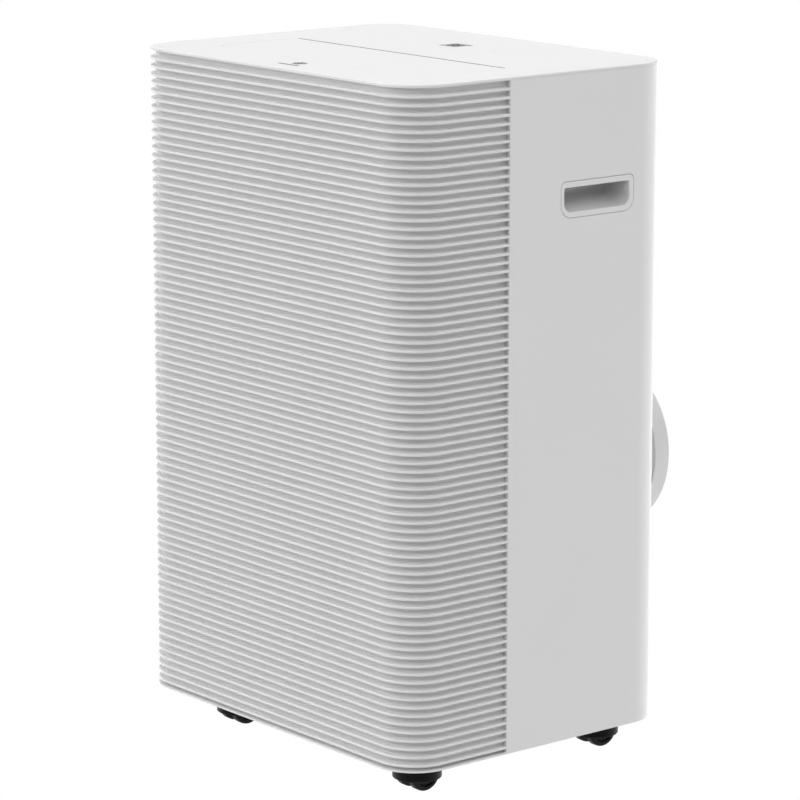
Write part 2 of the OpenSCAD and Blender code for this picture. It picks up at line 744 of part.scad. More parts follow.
// Two wheels on one axle, with a shallow dish in each outer face
module castor_wheels(number) color("#101010") {
    at = castors[number - 1];
    translate([at.x, at.y, axle_z]) rotate([0, 90, 0]) {
        cylinder(h = 2 * wheel_in + 2, r = castor_axle_r, center = true);
        for (side = [-1, 1]) mirror([0, 0, side < 0 ? 1 : 0]) rotate_extrude() polygon([
            [0, wheel_in], [wheel_r - 1, wheel_in], [wheel_r, wheel_in + 1], [wheel_r, wheel_out - 2],
            [wheel_r - 2, wheel_out], [wheel_r - 5, wheel_out], [wheel_r - 6, wheel_out - 1],
            [0, wheel_out - 1]]);
    }
}

module castor_wheels_1() castor_wheels(1);
module castor_wheels_2() castor_wheels(2);
module castor_wheels_3() castor_wheels(3);
module castor_wheels_4() castor_wheels(4);

base_pan();
front_grille();
side_panel_right();
side_panel_left();
rear_panel();
top_rim();
top_deck();
display_window();
display_board();
louvre_flap();
flap_motor();
outlet_duct();
vane_frame();
vane_1();
vane_2();
vane_3();
vane_4();
vane_5();
vane_link();
vane_motor();
handle_cup_right();
handle_cup_left();
upper_grille();
upper_filter();
lower_grille();
lower_filter();
exhaust_collar();
exhaust_elbow();
condenser_scroll();
condenser_wheel();
condenser_motor();
condenser_coil();
evaporator_scroll();
evaporator_wheel();
evaporator_motor();
evaporator_coil();
mid_deck();
compressor();
compressor_mounts();
compressor_bolts();
accumulator();
suction_pipe();
discharge_pipe();
capillary_tube();
control_box();
main_board();
capacitor();
splash_pump();
upper_drain_plug();
lower_drain_plug();
cord_gland();
rear_screws();
castor_fork_1();
castor_fork_2();
castor_fork_3();
castor_fork_4();
castor_wheels_1();
castor_wheels_2();
castor_wheels_3();
castor_wheels_4();
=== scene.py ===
"""Looks of a portable air conditioner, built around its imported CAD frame. Shapes are worked out in
millimetres from the frame's boxes and turned into metres when a mesh is made. The front faces -Y and
+Z is up."""
import json
import math

import bmesh
import bpy
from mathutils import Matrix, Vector


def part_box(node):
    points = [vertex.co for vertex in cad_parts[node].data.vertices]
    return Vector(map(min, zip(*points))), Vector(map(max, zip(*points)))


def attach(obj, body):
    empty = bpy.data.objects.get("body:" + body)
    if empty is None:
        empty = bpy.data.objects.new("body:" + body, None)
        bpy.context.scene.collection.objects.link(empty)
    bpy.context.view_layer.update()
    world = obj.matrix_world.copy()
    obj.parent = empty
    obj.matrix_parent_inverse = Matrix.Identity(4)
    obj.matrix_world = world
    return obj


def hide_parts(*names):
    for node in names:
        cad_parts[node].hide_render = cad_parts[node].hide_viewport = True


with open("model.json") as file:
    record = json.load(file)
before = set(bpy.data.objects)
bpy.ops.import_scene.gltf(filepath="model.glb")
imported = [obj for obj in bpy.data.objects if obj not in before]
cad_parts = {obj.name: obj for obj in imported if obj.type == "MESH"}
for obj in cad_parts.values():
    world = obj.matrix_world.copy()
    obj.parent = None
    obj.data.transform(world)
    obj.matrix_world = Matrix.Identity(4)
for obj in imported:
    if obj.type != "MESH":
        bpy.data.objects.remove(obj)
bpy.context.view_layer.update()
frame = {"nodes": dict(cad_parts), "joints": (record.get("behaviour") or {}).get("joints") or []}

MM = 0.001


def node_box(node):
    """Lowest and highest corner of a CAD node, in millimetres."""
    low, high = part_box(node)
    return low / MM, high / MM


def rear_centre(node):
    """Where the middle of a CAD node lies on the rear face: x and z."""
    low, high = node_box(node)
    return (low.x + high.x) / 2, (low.z + high.z) / 2


CASE_LOW, CASE_HIGH = node_box("front_grille")
RIM_HIGH = node_box("top_rim")[1]
FLAP_LOW, FLAP_HIGH = node_box("louvre_flap")
LEFT, RIGHT, FRONT = CASE_LOW.x, CASE_HIGH.x, CASE_LOW.y
SPLIT, REAR = CASE_HIGH.y, RIM_HIGH.y
BOTTOM, TOP = CASE_LOW.z, RIM_HIGH.z
UNDER_TOP = CASE_HIGH.z
CORNER_R = 44.0
PANEL_T = 3.0
SHELL_T = 7.5
RIB_PITCH = 8.5
RIB_T = 3.0
RIB_DEPTH = 5.0
RIB_COUNT = int((UNDER_TOP - BOTTOM) / RIB_PITCH)
RIM_W = 10.0
SEAM = 0.3
# Corners (y, z) of the handle's hole in the side panel, and of the cup's mouth
HANDLE = {"outer": (-9.0, 568.0, 88.0, 605.0), "inner": (-4.0, 574.0, 82.0, 598.5)}
# Half width and front corner radius of the flap, and the width of the slot behind it
FLAP_X = 167.0
FLAP_R = 17.0
FLAP_SLOT = 2.5
SCREW_HEAD_R = 3.8
SPIGOT_R = 71.0
PLUG_HOLE_R = 6.3
GLAND_HOLE_R = 10.0


# ---- Outlines and mesh building

def arc(cx, cy, r, start, sweep, steps):
    """Points on an arc, from the angle start over the angle sweep, in degrees."""
    angles = [math.radians(start + sweep * i / steps) for i in range(steps + 1)]
    return [(cx + r * math.cos(a), cy + r * math.sin(a)) for a in angles]


def round_rect(x0, y0, x1, y1, radii, steps=8):
    """A function from an inset to a rounded rectangle's points. The radii go round from the lower left
    corner: lower right, upper right, upper left."""
    def loop(inset):
        points = []
        for i, r in enumerate(radii):
            r = max(r - inset, 0.02)
            cx = x0 + inset + r if i in (0, 3) else x1 - inset - r
            cy = y0 + inset + r if i in (0, 1) else y1 - inset - r
            points += arc(cx, cy, r, 180 + 90 * i, 90, steps)
        return points
    return loop


def disc(cx, cy, r, steps=64):
    """A function from an inset to a circle's points."""
    return lambda inset: arc(cx, cy, r - inset, 0, 360, steps)[:-1]


def grown(loop):
    """The same outline for a hole, which grows where an outer outline shrinks."""
    return lambda inset: loop(-inset)


def on_xy(a, b, c):
    """Places an outline's (a, b) and height c on the XY plane."""
    return a, b, c


def on_xz(a, b, c):
    """Places an outline's (a, b) and height c on the XZ plane."""
    return a, c, b


def on_yz(a, b, c):
    """Places an outline's (a, b) and height c on the YZ plane."""
    return c, a, b


def edge_rings(low, high, r_low, r_high, steps=3):
    """(inset, height) of the rings that round a slab's lower and upper edges."""
    rings = []
    for i in range(steps + 1):
        a = math.pi / 2 * i / steps
        rings.append((r_low * (1 - math.sin(a)), low + r_low * (1 - math.cos(a))))
    for i in range(steps + 1):
        a = math.pi / 2 * i / steps
        rings.append((r_high * (1 - math.cos(a)), high - r_high * (1 - math.sin(a))))
    return rings


def flat_faces(obj):
    """Weights the normals by face area, so that a large flat face keeps an even shade beside its edges."""
    weighted = obj.modifiers.new("face_area_normals", "WEIGHTED_NORMAL")
    weighted.keep_sharp = True
    weighted.weight = 100


class Builder:
    """Gathers closed parts into one mesh, in millimetres."""

    def __init__(self):
        self.bm = bmesh.new()

    def rings(self, rings, closed_path=False, caps=True):
        """Skins a list of closed rings of points, and caps the first and the last."""
        made = [[self.bm.verts.new(p) for p in ring] for ring in rings]
        count = len(made[0])
        pairs = list(zip(made, made[1:] + made[:1]))
        for a, b in pairs if closed_path else pairs[:-1]:
            for i in range(count):
                j = (i + 1) % count
                self.bm.faces.new((a[i], a[j], b[j], b[i]))
        if caps and not closed_path:
            self.bm.faces.new(made[0][::-1])
            self.bm.faces.new(made[-1])
        return made

    def slab(self, outline, low, high, place=on_xy, holes=(), r_low=0.3, r_high=0.3, steps=3):
        """A flat part with rounded edges: an outline with holes, from low to high."""
        top, bottom = [], []
        for loop in (outline, *[grown(h) for h in holes]):
            made = [[self.bm.verts.new(place(x, y, z)) for x, y in loop(inset)]
                    for inset, z in edge_rings(low, high, r_low, r_high, steps)]
            count = len(made[0])
            for a, b in zip(made, made[1:]):
                for i in range(count):
                    j = (i + 1) % count
                    self.bm.faces.new((a[i], a[j], b[j], b[i]))
            bottom += [self.bm.edges.get((made[0][i], made[0][(i + 1) % count])) for i in range(count)]
            top += [self.bm.edges.get((made[-1][i], made[-1][(i + 1) % count])) for i in range(count)]
        normal = Vector(place(0, 0, 1))
        bmesh.ops.triangle_fill(self.bm, use_beauty=True, edges=top, normal=normal)
        bmesh.ops.triangle_fill(self.bm, use_beauty=True, edges=bottom, normal=-normal)

    def lathe(self, profile, centre, axis="Z", steps=64):
        """A closed profile of (radius, height) turned about an axis through centre."""
        rings = []
        for i in range(steps):
            a = 2 * math.pi * i / steps
            ring = []
            for r, h in profile:
                u, v = r * math.cos(a), r * math.sin(a)
                p = {"X": (h, u, v), "Y": (v, h, u), "Z": (u, v, h)}[axis]
                ring.append(Vector(p) + Vector(centre))
            rings.append(ring)
        made = self.rings(rings, closed_path=True)
        bmesh.ops.remove_doubles(self.bm, verts=[v for ring in made for v in ring], dist=1e-4)

    def rod(self, a, b, r, steps=24, edge=0.3):
        """A round bar from a to b with softened ends."""
        a, b = Vector(a), Vector(b)
        along = (b - a).normalized()
        side = along.orthogonal().normalized()
        other = along.cross(side)
        length = (b - a).length
        rings = []
        for inset, h in edge_rings(0, length, edge, edge, 2):
            circle = arc(0, 0, r - inset, 0, 360, steps)[:-1]
            rings.append([a + along * h + side * u + other * v for u, v in circle])
        self.rings(rings)

    def tube(self, points, r, steps=12):
        """A round bar bent along a list of points."""
        points = [Vector(p) for p in points]
        rings = []
        side = (points[1] - points[0]).orthogonal().normalized()
        for i, p in enumerate(points):
            along = (points[min(i + 1, len(points) - 1)] - points[max(i - 1, 0)]).normalized()
            side = (side - along * side.dot(along)).normalized()
            other = along.cross(side)
            circle = arc(0, 0, r, 0, 360, steps)[:-1]
            rings.append([p + side * u + other * v for u, v in circle])
        self.rings(rings)

    def block(self, low, high, r=0.4):
        """A block with rounded edges between two corners."""
        loop = round_rect(low[0], low[1], high[0], high[1], (r,) * 4, 2)
        self.slab(loop, low[2], high[2], r_low=r, r_high=r, steps=2)

    def piece(self, name, body, node, material, angle=35):
        """Makes the object, in metres: smooth but for edges sharper than angle, riding on body, in place
        of node."""
        bmesh.ops.recalc_face_normals(self.bm, faces=self.bm.faces)
        bmesh.ops.scale(self.bm, vec=(MM, MM, MM), verts=self.bm.verts)
        mesh = bpy.data.meshes.new(name)
        self.bm.to_mesh(mesh)
        self.bm.free()
        mesh.polygons.foreach_set("use_smooth", [True] * len(mesh.polygons))
        mesh.set_sharp_from_angle(angle=math.radians(angle))
        mesh.materials.append(material)
        obj = bpy.data.objects.new(name, mesh)
        bpy.context.scene.collection.objects.link(obj)
        flat_faces(obj)
        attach(obj, body)
        if node:
            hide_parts(node)
        return obj


# ---- Materials

def material(name, color, roughness, speckle=0.02, grain=1400.0, bump=0.02, metallic=0.0, cloud=9.0, coat=0.0,
             stretch=(1.0, 1.0, 1.0), specular=0.5):
    """Moulded or rolled stock: a base colour with slight clouds and fine grain, uneven gloss and a fine
    surface bump."""
    mat = bpy.data.materials.new(name)
    mat.use_nodes = True
    nodes, links = mat.node_tree.nodes, mat.node_tree.links
    shader = nodes["Principled BSDF"]
    shader.inputs["Metallic"].default_value = metallic
    shader.inputs["Specular IOR Level"].default_value = specular
    shader.inputs["Coat Weight"].default_value = coat
    coords = nodes.new("ShaderNodeTexCoord")
    mapping = nodes.new("ShaderNodeMapping")
    mapping.inputs["Scale"].default_value = stretch
    links.new(coords.outputs["Object"], mapping.inputs["Vector"])
    clouds = nodes.new("ShaderNodeTexNoise")
    clouds.inputs["Scale"].default_value = cloud
    clouds.inputs["Detail"].default_value = 4.0
    fine = nodes.new("ShaderNodeTexNoise")
    fine.inputs["Scale"].default_value = grain
    fine.inputs["Detail"].default_value = 3.0
    for texture in (clouds, fine):
        links.new(mapping.outputs["Vector"], texture.inputs["Vector"])
    tint = nodes.new("ShaderNodeValToRGB")
    tint.color_ramp.elements[0].position = 0.3
    tint.color_ramp.elements[1].position = 0.7
    tint.color_ramp.elements[0].color = (*[c * (1 - speckle) for c in color], 1)
    tint.color_ramp.elements[1].color = (*[min(1, c * (1 + speckle)) for c in color], 1)
    links.new(clouds.outputs["Fac"], tint.inputs["Fac"])
    links.new(tint.outputs["Color"], shader.inputs["Base Color"])
    gloss = nodes.new("ShaderNodeMapRange")
    gloss.inputs["To Min"].default_value = roughness * 0.88
    gloss.inputs["To Max"].default_value = min(1.0, roughness * 1.12)
    links.new(fine.outputs["Fac"], gloss.inputs["Value"])
    links.new(gloss.outputs["Result"], shader.inputs["Roughness"])
    relief = nodes.new("ShaderNodeBump")
    relief.inputs["Strength"].default_value = bump
    relief.inputs["Distance"].default_value = 0.0002
    links.new(fine.outputs["Fac"], relief.inputs["Height"])
    links.new(relief.outputs["Normal"], shader.inputs["Normal"])
    return mat


CASING = material("casing_plastic", (0.61, 0.61, 0.61), 0.5, speckle=0.006, bump=0.12)
ICON = material("icon_print", (0.10, 0.10, 0.105), 0.45, speckle=0.03)
FAINT = material("icon_faint", (0.60, 0.60, 0.61), 0.45, speckle=0.03)
ICON_DARK = material("icon_dark", (0.02, 0.02, 0.022), 0.35, speckle=0.05)
WINDOW = material("window_smoked", (0.56, 0.56, 0.57), 0.3, speckle=0.01, coat=0.4)
DUCT = material("duct_plastic", (0.60, 0.61, 0.61), 0.55, speckle=0.02, bump=0.2)
FAN = material("fan_plastic", (0.10, 0.10, 0.11), 0.5, speckle=0.08, bump=0.2)
NET = material("filter_net", (0.17, 0.18, 0.19), 0.6, speckle=0.08, bump=0.3)
BOARD = material("circuit_board", (0.02, 0.13, 0.055), 0.3, speckle=0.15, grain=600, coat=0.4)
MOTOR = material("plated_can", (0.56, 0.57, 0.59), 0.35, speckle=0.06, metallic=1.0, bump=0.15)
FINS = material("coil_fins", (0.74, 0.75, 0.77), 0.38, speckle=0.08, metallic=1.0, bump=0.2,
                stretch=(1, 1, 0.1))
ENAMEL = material("black_enamel", (0.018, 0.018, 0.02), 0.25, speckle=0.12, coat=0.5, bump=0.1)
RUBBER = material("black_rubber", (0.02, 0.02, 0.021), 0.75, speckle=0.12, bump=0.4)
ZINC = material("zinc_plate", (0.58, 0.59, 0.61), 0.4, speckle=0.08, metallic=1.0, bump=0.2)
COPPER = material("copper_tube", (0.72, 0.36, 0.2), 0.3, speckle=0.12, metallic=1.0, cloud=30)
CAN = material("capacitor_can", (0.55, 0.56, 0.58), 0.4, speckle=0.04)
BASE = material("base_plastic", (0.035, 0.035, 0.038), 0.6, speckle=0.08, bump=0.4)
CASTOR = material("castor_plastic", (0.005, 0.005, 0.0052), 0.55, speckle=0.1, bump=0.25, specular=0.12)
WHEEL = material("wheel_nylon", (0.004, 0.004, 0.0042), 0.5, speckle=0.12, bump=0.25, specular=0.12)


# ---- Casing

def casing_path(points):
    """Plan points with outward normals, from runs ('line', x0, y0, x1, y1, nx, ny) and
    ('arc', cx, cy, start, sweep)."""
    path = []
    for run in points:
        if run[0] == "line":
            _, x0, y0, x1, y1, nx, ny = run
            path += [(x0, y0, nx, ny), (x1, y1, nx, ny)]
        else:
            _, cx, cy, start, sweep = run
            for x, y in arc(0, 0, 1, start, sweep, 20):
                path.append((cx + CORNER_R * x, cy + CORNER_R * y, x, y))
    return [p for i, p in enumerate(path) if i == 0 or math.dist(p[:2], path[i - 1][:2]) > 1e-6]


def rib_profile():
    """(depth, height) round the ribbed wall: rib noses and roots rounded, and a flat inner face."""
    nose, root = 1.15, 0.9
    profile = [(SHELL_T, BOTTOM), (0.8, BOTTOM)]
    profile += [(0.8 - 0.8 * math.sin(a), BOTTOM + 0.8 - 0.8 * math.cos(a)) for a in (0.5, 1.0, math.pi / 2)]
    profile += [(0.0, BOTTOM + 1.2), (0.35, BOTTOM + 1.8), (1.0, BOTTOM + 2.0), (RIB_DEPTH, BOTTOM + 2.2)]
    for i in range(1, RIB_COUNT + 1):
        high = BOTTOM + i * RIB_PITCH
        low = high - RIB_T
        profile += [(RIB_DEPTH - root + x, low - root + z)
                    for x, z in arc(0, 0, root, 0, 90, 3)]
        profile += [(nose + x, low + nose + z) for x, z in arc(0, 0, nose, 270, -90, 4)]
        profile += [(nose + x, high - nose + z) for x, z in arc(0, 0, nose, 180, -90, 4)]
        profile += [(RIB_DEPTH - root + x, high + root + z) for x, z in arc(0, 0, root, 270, 90, 3)]
    profile += [(RIB_DEPTH, UNDER_TOP), (SHELL_T, UNDER_TOP)]
    return profile


def front_grille():
    """The ribbed front casing: the rib profile carried along both sides, both corners and the front."""
    side_l, side_r = LEFT + CORNER_R, RIGHT - CORNER_R
    front_c = FRONT + CORNER_R
    path = casing_path([("line", LEFT, SPLIT, LEFT, front_c, -1, 0), ("arc", side_l, front_c, 180, 90),
                        ("line", side_l, FRONT, side_r, FRONT, 0, -1), ("arc", side_r, front_c, 270, 90),
                        ("line", RIGHT, front_c, RIGHT, SPLIT, 1, 0)])
    b = Builder()
    b.rings([[(x - nx * d, y - ny * d, z) for d, z in rib_profile()] for x, y, nx, ny in path])
    b.piece("front_grille_shell", "housing", "front_grille", CASING)


def handle_outline(inset=0.0):
    """The outline (y, z) of the handle's hole, as a function of a further inset."""
    y0, z0, y1, z1 = HANDLE["outer"]
    loop = round_rect(y0, z0, y1, z1, (14, 14, 6, 6), 10)
    return lambda more: loop(inset + more)


def side_panel(side, name):
    """A smooth side wall that turns the rear corner: thick at its front edge, with a hole for the handle
    cup."""
    rear_c = REAR - CORNER_R
    straight, turn = RIGHT, RIGHT - CORNER_R
    thick_edge = SHELL_T - 0.2
    path = [(straight, SPLIT + along, 1, 0, thick_edge, inward)
            for along, inward in ((0.0, 0.7), (0.15, 0.35), (0.35, 0.12), (0.7, 0.0), (4, 0))]
    path.append((straight, SPLIT + 4.01, 1, 0, PANEL_T, 0))
    for x, y in arc(0, 0, 1, 0, 90, 24):
        path.append((turn + CORNER_R * x, rear_c + CORNER_R * y, x, y, PANEL_T, 0))
    edge = 0.8
    profile = [(1, 0, BOTTOM), (0, edge, BOTTOM), (0, 0.3 * edge, BOTTOM + 0.3 * edge), (0, 0, BOTTOM + edge),
               (0, 0, UNDER_TOP - 0.01), (1, 0, UNDER_TOP - 0.01)]
    rings = []
    for x, y, nx, ny, thick, extra in path:
        depths = [(thick if inner else outer + extra, z) for inner, outer, z in profile]
        rings.append([(side * (x - nx * depth), y - ny * depth, z) for depth, z in depths])
    b = Builder()
    b.rings(rings)
    tab_low = node_box("side_panel_right")[0].x + 0.2
    tab = round_rect(tab_low, REAR - 2 * PANEL_T, turn + 5, REAR - PANEL_T + 0.2, (0.3,) * 4, 2)
    b.slab(lambda inset: [(side * x, y) for x, y in tab(inset)], BOTTOM + 1, UNDER_TOP - 1)
    panel = b.piece(name, "housing", name.replace("_skin", ""), CASING)
    cutter = Builder()
    cutter.slab(handle_outline(), RIGHT - SHELL_T - 2, RIGHT + 2, lambda y, z, x: (side * x, y, z),
                r_low=0.02, r_high=0.02)
    tool = cutter.piece(name + "_cutter", "housing", None, CASING)
    cut = panel.modifiers.new("hole", "BOOLEAN")
    cut.object, cut.operation, cut.solver = tool, "DIFFERENCE", "EXACT"
    bpy.context.view_layer.update()
    solid = bpy.data.meshes.new_from_object(panel.evaluated_get(bpy.context.evaluated_depsgraph_get()))
    panel.modifiers.clear()
    panel.data = solid
    flat_faces(panel)
    bpy.data.objects.remove(tool)
    soften_hole(panel, side)


def soften_hole(panel, side):
    """Rounds the edge where the handle hole meets the panel's outer face."""
    bm = bmesh.new()
    bm.from_mesh(panel.data)
    y0, z0, y1, z1 = [v * MM for v in HANDLE["outer"]]
    near, sharp, offset = 1e-5, 1.2, 0.45 * MM
    edges = []
    for e in bm.edges:
        on_face = all(abs(v.co.x * side - RIGHT * MM) < near for v in e.verts)
        inside = all(y0 - near < v.co.y < y1 + near and z0 - near < v.co.z < z1 + near for v in e.verts)
        if on_face and inside and len(e.link_faces) == 2 and e.calc_face_angle(0) > sharp:
            edges.append(e)
    bmesh.ops.bevel(bm, geom=edges, offset=offset, segments=2, profile=0.5, affect="EDGES")
    bm.to_mesh(panel.data)
    bm.free()
    panel.data.polygons.foreach_set("use_smooth", [True] * len(panel.data.polygons))
    panel.data.set_sharp_from_angle(angle=math.radians(35))


def top_rim():
    """The top's outer rim: a rounded outer edge, a fine inner edge, and the ledge that carries the deck."""
    side_l, side_r, front_c, rear_c = LEFT + CORNER_R, RIGHT - CORNER_R, FRONT + CORNER_R, REAR - CORNER_R
    path = casing_path([("arc", side_l, front_c, 180, 90), ("line", side_l, FRONT, side_r, FRONT, 0, -1),
                        ("arc", side_r, front_c, 270, 90), ("line", RIGHT, front_c, RIGHT, rear_c, 1, 0),
                        ("arc", side_r, rear_c, 0, 90), ("line", side_r, REAR, side_l, REAR, 0, 1),
                        ("arc", side_l, rear_c, 90, 90), ("line", LEFT, rear_c, LEFT, front_c, -1, 0)])
    if math.dist(path[0][:2], path[-1][:2]) < 1e-6:
        path.pop()
    outer, inner = 1.7, 0.25
    profile = [(8.0, UNDER_TOP), (0.5, UNDER_TOP), (0.12, UNDER_TOP + 0.15), (0.0, UNDER_TOP + 0.5)]
    profile += [(outer + x, TOP - outer + z) for x, z in arc(0, 0, outer, 180, -90, 6)]
    profile += [(RIM_W - inner + x, TOP - inner + z) for x, z in arc(0, 0, inner, 90, -90, 3)]
    profile += [(RIM_W, UNDER_TOP), (RIM_W + 6, UNDER_TOP), (RIM_W + 6, UNDER_TOP - 8), (8.0, UNDER_TOP - 8)]
    b = Builder()
    b.rings([[(x - nx * d, y - ny * d, z) for d, z in profile] for x, y, nx, ny in path], closed_path=True)
    b.piece("top_rim_ring", "housing", "top_rim", CASING)


def flap_outline(gap, back):
    """The flap's outline, wider by gap at its front and sides and by back at its rear edge."""
    return round_rect(-FLAP_X - gap, FLAP_LOW.y - gap, FLAP_X + gap, FLAP_HIGH.y + back,
                      (FLAP_R + gap, FLAP_R + gap, 0.4, 0.4), 10)


def top_deck():
    """The plate inside the rim, open for the flap and for the display's pane, and that pane."""
    inset = RIM_W + SEAM
    low, high = node_box("display_window")
    edge, gap, pane_r = CORNER_R - inset, 0.1, 1.5
    outline = round_rect(LEFT + inset, FRONT + inset, RIGHT - inset, REAR - inset, (edge,) * 4, 16)
    window = round_rect(low.x - gap, low.y - gap, high.x + gap, high.y + gap, (pane_r,) * 4, 4)
    b = Builder()
    b.slab(outline, UNDER_TOP, TOP - 0.02, holes=[flap_outline(0.6, FLAP_SLOT), window], r_high=0.1)
    b.piece("top_deck_plate", "housing", "top_deck", CASING)
    pane = Builder()
    pane.slab(round_rect(low.x, low.y, high.x, high.y, (pane_r,) * 4, 4),
              UNDER_TOP + 0.2, TOP - 0.1, r_high=0.2)
    pane.piece("display_pane", "housing", "display_window", WINDOW)


def rear_panel():
    """The flat back, with holes for both grilles, the collar, the drain plugs and the cord gland."""
    x = RIGHT - CORNER_R - 0.15
    gap = 0.5
    holes = []
    for grille in ("upper_grille", "lower_grille"):
        low, high = node_box(grille)
        holes.append(round_rect(low.x - gap, low.z - gap, high.x + gap, high.z + gap, (2,) * 4, 4))
    holes.append(disc(*rear_centre("exhaust_collar"), SPIGOT_R + SEAM, 96))
    for plug in ("upper_drain_plug", "lower_drain_plug"):
        holes.append(disc(*rear_centre(plug), PLUG_HOLE_R, 32))
    holes.append(disc(*rear_centre("cord_gland"), GLAND_HOLE_R, 32))
    b = Builder()
    b.slab(round_rect(-x, BOTTOM, x, UNDER_TOP - 0.02, (0.4,) * 4, 2), REAR - PANEL_T, REAR, on_xz, holes,
           r_low=0.2, r_high=0.5)
    b.piece("rear_panel_plate", "housing", "rear_panel", CASING)


def rear_screws():
    """Pan-head screws with a crossed recess, up both edges of the rear panel."""
    screws = frame["nodes"]["rear_screws"]
    heads = sorted({(round(v.co.x / MM, 1), round(v.co.z / MM, 1)) for v in screws.data.vertices})
    low, high = node_box("rear_screws")
    columns = (low.x + SCREW_HEAD_R, high.x - SCREW_HEAD_R)
    rows = screw_rows(heads)
    arm, half = 2.1, 0.45
    cross = [(arm, -half), (arm, half), (half, half), (half, arm), (-half, arm), (-half, half), (-arm, half),
             (-arm, -half), (-half, -half), (-half, -arm), (half, -arm), (half, -half)]

    def recess(x, z):
        return lambda inset: [(x + u * (1 - inset * 0.2), z + v * (1 - inset * 0.2)) for u, v in cross]

    b = Builder()
    for x in columns:
        for z in rows:
            b.slab(disc(x, z, SCREW_HEAD_R, 28), REAR + 0.02, REAR + 2.2, on_xz, [recess(x, z)],
                   r_low=0.1, r_high=1.0)
            b.rod((x, REAR - 10, z), (x, REAR + 1.0, z), 2.0)
    b.piece("rear_screw_set", "housing", "rear_screws", ZINC)


def screw_rows(points):
    """The heights of the screws' centres: each head's points lie within its radius of one of them."""
    rows = []
    for z in sorted({p[1] for p in points}):
        if not rows or z - rows[-1][0] > 2 * SCREW_HEAD_R + 1:
            rows.append([z, z])
        rows[-1][1] = z
    return [(a + b) / 2 for a, b in rows]


# ---- Handles

def handle_cup(side, name):
    """A flanged cup let into the side: a straight upper lip, and a floor that scoops up from the lower lip
    to the back. A ring of the cup is given by its growth, depth, scoop of the floor, hook of the roof
    and draw-in of the sides."""
    y0, z0, y1, z1 = HANDLE["inner"]
    depth, wall, rise = 33.0, 2.5, 12.0
    lip, lip_steps = 1.4, 4
    steps = 22
    inner = []
    for i in range(lip_steps + 1):
        a = math.pi / 2 * i / lip_steps
        inner.append((lip * (1 - math.sin(a)) * -1, lip * (1 - math.cos(a)), 0.0, 0.0, 0.0))
    for i in range(1, steps + 1):
        t = i / steps
        d = lip + (depth - lip) * t
        scoop = 21.0 * (1 - math.sqrt(max(0.0, 1 - (0.97 * t) ** 2)))
        hook = rise * smooth((d - 5) / 9)
        sides = 5.0 * (1 - math.sqrt(max(0.0, 1 - (0.9 * t) ** 2)))
        inner.append((0.0, d, scoop, hook, sides))

    def ring(grow, d, scoop, hook, sides):
        radii = (9.5 + sides,) * 2 + (2.0 + sides * 0.6,) * 2
        loop = round_rect(y0 + sides, z0 + scoop, y1 - sides, z1 + hook, radii, 10)
        return [(side * (RIGHT - d), y, z) for y, z in loop(-grow)]

    flange = handle_outline(0.4)
    outer = [[(side * (RIGHT - d), y, z) for y, z in flange(i)]
             for i, d in ((0.5, 0.0), (0.15, 0.15), (0.0, 0.5), (0.0, 3.0))]
    rings = outer[::-1] + [ring(-g, d, s, h, w) for g, d, s, h, w in inner]
    back = [ring(wall, d + (wall if i == len(inner) - 1 else 0), s, h, w)
            for i, (g, d, s, h, w) in enumerate(inner) if d > 3.2]
    b = Builder()
    made = b.rings(rings, caps=False)
    shell = b.rings(back, caps=False)
    fill = b.bm.faces.new
    fill(made[-1])
    fill(shell[-1])
    count = len(made[0])
    for i in range(count):
        j = (i + 1) % count
        fill((made[0][i], made[0][j], shell[0][j], shell[0][i]))
    b.piece(name + "_shell", "housing", name, CASING, angle=50)


def smooth(t):
    """Eases from 0 to 1 as t goes from 0 to 1, and stays there beyond."""
    t = max(0.0, min(1.0, t))
    return t * t * (3 - 2 * t)


# ---- Louvre flap, vanes and duct

def louvre_flap():
    """The flap's plate, with an ear and a hinge pin at each end and ribs underneath."""
    hinge = Vector(frame_joint("flap_hinge")["pos_m"]) / MM
    ear_in, ear_out, pin_in, pin_out = 158, 166, 165, 174
    b = Builder()
    b.slab(flap_outline(0, 0), UNDER_TOP, TOP - 0.02, r_low=0.5, r_high=0.35)
    for side in (-1, 1):
        x0, x1 = sorted((side * ear_in, side * ear_out))
        b.block((x0, hinge.y - 4, hinge.z - 2.5), (x1, hinge.y + 3, UNDER_TOP + 0.5), 0.8)
        b.rod((side * pin_in, hinge.y, hinge.z), (side * pin_out, hinge.y, hinge.z), 1.6, 20)
    for x in (-120, -60, 0, 60, 120):
        b.block((x - 1, FLAP_LOW.y + 12, UNDER_TOP - 3), (x + 1, hinge.y - 6, UNDER_TOP + 0.5), 0.5)
    b.piece("louvre_flap_plate", "flap", "louvre_flap", CASING)


def frame_joint(name):
    """The frame's own entry for a joint."""
    return next(j for j in frame["joints"] if j["name"] == name)


def air_vane(number):
    """A thin upright blade with a rounded hub, its pivot pin and its crank pin."""
    node = f"vane_{number}"
    low, high = node_box(node)
    pivot = Vector(frame_joint(f"vane_turn_{number}")["pos_m"]) / MM
    blade_low, half, crank_y = low.z + 12, 1.2, pivot.y - 25
    b = Builder()
    b.slab(round_rect(low.y, blade_low, high.y, high.z, (5,) * 4, 6), pivot.x - half, pivot.x + half, on_yz,
           r_low=0.9, r_high=0.9)
    b.rod((pivot.x, pivot.y, blade_low), (pivot.x, pivot.y, high.z), 3.0, 24, 0.5)
    b.rod((pivot.x, pivot.y, low.z), (pivot.x, pivot.y, blade_low + 2), 2.0, 20)
    b.rod((pivot.x, crank_y, blade_low - 5), (pivot.x, crank_y, blade_low + 2), 1.5, 16)
    b.piece(f"air_vane_{number}_blade", f"air_vane_{number}", node, DUCT)


# ---- Intake grilles, filters and coils

